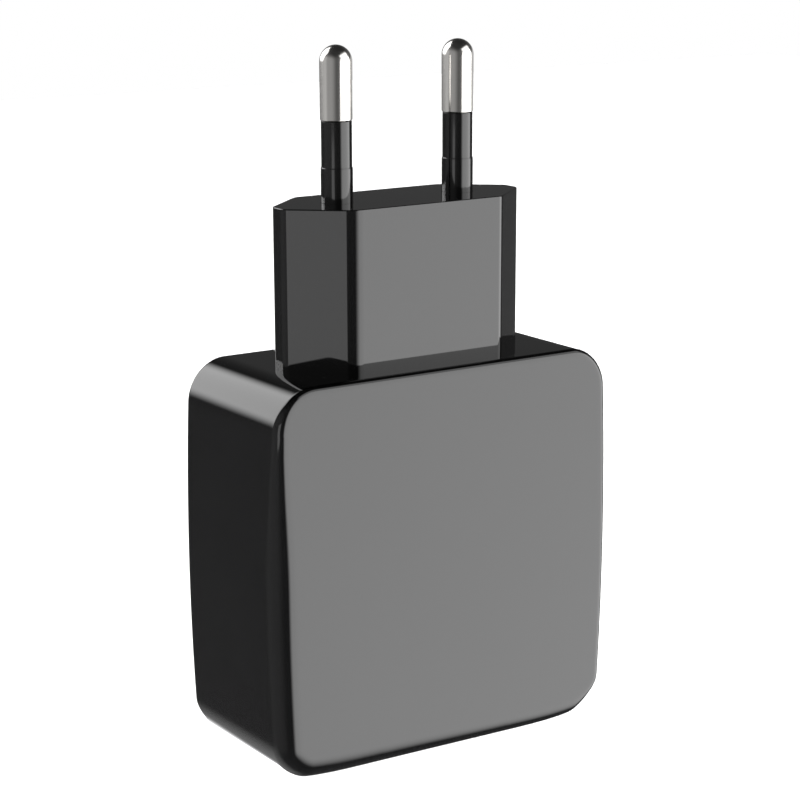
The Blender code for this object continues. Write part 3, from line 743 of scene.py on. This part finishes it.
def ramped(tree, source, start, end, low=0.0, high=1.0):
    ramp = addNode(tree, "ShaderNodeMapRange", interpolation_type="SMOOTHSTEP")
    for key, value in zip(rangeSockets, (start, end, low, high)):
        ramp.inputs[key].default_value = value
    tree.links.new(source, ramp.inputs["Value"])
    return ramp.outputs["Result"]


def combined(tree, operation, first, second):
    node = addNode(tree, "ShaderNodeMath", operation=operation)
    for socket, value in zip(node.inputs, (first, second)):
        if isinstance(value, (int, float)):
            socket.default_value = value
        else:
            tree.links.new(value, socket)
    return node.outputs["Value"]


def softbox(name, azimuths, elevations, strength, soft, receivers=None, distance=0.9, tilt=(0.0, 0.0)):
    # a glowing card that shows in reflections only; it spans the given angles in degrees as seen
    # from the object, soft gives how wide its left, right, lower and upper edges fade, as shares of
    # its half size, and tilt by how much its right and upper edges outshine its middle
    azimuth, elevation = sum(azimuths) / 2, sum(elevations) / 2
    middle = direction(azimuth, elevation)
    turn, rise = math.radians(azimuths[1] - azimuths[0]) / 2, math.radians(elevation)
    across = math.cos(rise) * math.sin(turn) / (math.cos(rise) ** 2 * math.cos(turn) + math.sin(rise) ** 2)
    upright = math.tan(math.radians(elevations[1] - elevations[0]) / 2)
    half = (distance * across, distance * upright)
    bm = bmesh.new()
    bmesh.ops.create_grid(bm, x_segments=1, y_segments=1, size=1)
    bmesh.ops.scale(bm, vec=(*half, 1), verts=bm.verts)
    card = meshObject(name, bm)
    right = direction(azimuth + 90, 0)
    place = middle * distance + Vector((0, 0, view["aim"]))
    card.matrix_world = facing(place, right, middle.cross(right), middle)
    glow = bpy.data.materials.new(name)
    glow.use_nodes = True
    tree = glow.node_tree
    tree.nodes.clear()
    apart = addNode(tree, "ShaderNodeSeparateXYZ")
    tree.links.new(addNode(tree, "ShaderNodeTexCoord").outputs["Object"], apart.inputs["Vector"])
    level = strength
    for axis, reach, share in zip("XY", half, tilt):
        grade = combined(tree, "MULTIPLY", apart.outputs[axis], share * strength / reach)
        level = combined(tree, "ADD", grade, level)
    for axis, reach, widths in (("X", half[0], soft[:2]), ("Y", half[1], soft[2:])):
        for side, width in zip((-1, 1), widths):
            if width:
                fade = ramped(tree, apart.outputs[axis], side * reach, side * (1 - width) * reach)
                level = combined(tree, "MULTIPLY", level, fade)
    emission = addNode(tree, "ShaderNodeEmission")
    tree.links.new(level, emission.inputs["Strength"])
    both = addNode(tree, "ShaderNodeAddShader")
    tree.links.new(emission.outputs["Emission"], both.inputs[0])
    tree.links.new(addNode(tree, "ShaderNodeBsdfTransparent").outputs["BSDF"], both.inputs[1])
    tree.links.new(both.outputs["Shader"], addNode(tree, "ShaderNodeOutputMaterial").inputs["Surface"])
    card.data.materials.append(glow)
    card.visible_camera = False
    card.visible_diffuse = False
    card.visible_shadow = False
    if receivers:
        card.light_linking.receiver_collection = receivers


def group(name, members):
    collection = bpy.data.collections.new(name)
    for member in members:
        collection.objects.link(member)
    return collection


def shadowlessLamp(name, size, energy, place, turn, receivers):
    lamp = bpy.data.lights.new(name, "AREA")
    lamp.size = size
    lamp.energy = energy
    lamp.use_shadow = False
    holder = bpy.data.objects.new(name, lamp)
    holder.location = place
    holder.rotation_euler.x = math.radians(turn)
    bpy.context.scene.collection.objects.link(holder)
    holder.light_linking.receiver_collection = receivers


floorSize = {"half": 0.8, "gap": 0.05 * mm}


def makeFloor():
    bm = bmesh.new()
    bmesh.ops.create_grid(bm, x_segments=1, y_segments=1, size=floorSize["half"])
    floor = meshObject("floor", bm)
    pale = Paint("paleFloor", (0.86, 0.86, 0.86), 0.9)
    pale.mottle((0.88, 0.88, 0.88), pale.noise(3))
    # seen from underneath the floor is clear, so that it doesn't hide the sockets
    side = pale.add("ShaderNodeNewGeometry")
    mix = pale.add("ShaderNodeMixShader")
    pale.join(side.outputs["Backfacing"], mix.inputs["Fac"])
    pale.join(pale.shader.outputs["BSDF"], mix.inputs[1])
    pale.join(pale.add("ShaderNodeBsdfTransparent").outputs["BSDF"], mix.inputs[2])
    pale.join(mix.outputs["Shader"], pale.tree.nodes["Material Output"].inputs["Surface"])
    floor.data.materials.append(pale.material)
    floor.location.z = -housing["sag"] - floorSize["gap"]
    floor.visible_glossy = False   # or it would hide the lower part of the softboxes in reflections
    return floor


# soft steps in brightness across the sky: axis, where the step starts and ends along that axis of
# the direction looked in, and the level at either end
skySteps = {
    "added": (
        ("X", 0.2, -0.3, 0.088, 0.12),
        ("X", -0.45, -0.95, 0.0, 0.26),
        ("X", 0.7, 0.9, 0.0, 0.03),
        ("Z", -0.05, -0.25, 0.0, 0.02),
    ),
    "below": (("Z", -0.4, -0.65, 0.0, 0.42), ("X", 0.32, 0.02, 0.0, 1.0), ("Y", 0.1, 0.5, 0.0, 1.0)),
    "overhead": ("Z", 0.3, 0.8, 1.0, 0.3),
}


def makeSky():
    # plain white to the camera, but dim in reflections, paler to the left and from below
    sky = bpy.data.worlds.new("sky")
    bpy.context.scene.world = sky
    sky.use_nodes = True
    tree = sky.node_tree
    apart = addNode(tree, "ShaderNodeSeparateXYZ")
    tree.links.new(addNode(tree, "ShaderNodeTexCoord").outputs["Generated"], apart.inputs["Vector"])

    def stepped(axis, start, end, low, high):
        return ramped(tree, apart.outputs[axis], start, end, low, high)

    dim, below = 0.0, 1.0
    for row in skySteps["added"]:
        dim = combined(tree, "ADD", dim, stepped(*row))
    for row in skySteps["below"]:
        below = combined(tree, "MULTIPLY", below, stepped(*row))
    dim = combined(tree, "ADD", dim, below)
    dim = combined(tree, "MULTIPLY", dim, stepped(*skySteps["overhead"]))
    rays = addNode(tree, "ShaderNodeLightPath")
    mix = addNode(tree, "ShaderNodeMix")
    tree.links.new(rays.outputs["Is Camera Ray"], mix.inputs["Factor"])
    tree.links.new(dim, mix.inputs["A"])
    mix.inputs["B"].default_value = 1.0
    tree.links.new(mix.outputs["Result"], tree.nodes["Background"].inputs["Strength"])
    tree.nodes["Background"].inputs["Color"].default_value = (1, 1, 1, 1)


makeCamera()
floor = makeFloor()
makeSky()
pinsOnly, sleevesOnly = group("pinsOnly", pinPieces), group("sleevesOnly", sleevePieces)
shellOnly = group("shellOnly", [shell])
outside = group("outside", [shell] + pinPieces + sleevePieces)
floorOnly, endOnly = group("floorOnly", [floor]), group("endOnly", endPieces)
near = 172 * mm   # distance of the two cards beside the left end
# the overhead lamp whitens the floor, on which the sky alone leaves a faint contact shadow
shadowlessLamp("overhead", size=2.4, energy=92, place=(0, 0, 1.8), turn=0, receivers=floorOnly)
shadowlessLamp("underLamp", size=0.4, energy=2.6, place=(0.05, -0.12, -0.36), turn=162, receivers=endOnly)
softbox("keyBox", (-101, -3), (-62, 26), 4.66, (0.50, 0.40, 0.94, 0.0), outside, tilt=(0.16, -0.08))
softbox("upperBox", (-97, -6), (26, 54), 1.9, (0.3, 0.3, 0.0, 0.6), outside)
softbox("stripBox", (-156.5, -134.5), (-9.3, 8.7), 1.44, (0.2, 0.1, 0.0, 0.05), shellOnly, near)
softbox("sleeveCard", (-161, -140), (-8.5, 8.7), 1.42, (0.2, 0.1, 0.0, 0.05), sleevesOnly, near)
softbox("backBox", (82, 146), (-2, 57), 3.7, (0.55, 0.35, 0.52, 0.25), tilt=(0.12, 0.0))
softbox("rearBox", (37, 95), (-40, -3), 3.6, (0.14, 0.4, 0.5, 0.2), shellOnly)
softbox("pinCard", (84, 178), (-34, 34), 0.21, (0.1, 0.5, 0.1, 0.1), pinsOnly)
softbox("pinEdgeCard", (-14, 60), (-30, 14), 0.5, (0.2, 0.3, 0.1, 0.3), pinsOnly)
bpy.context.scene.view_settings.view_transform = "Standard"
print("stage set")
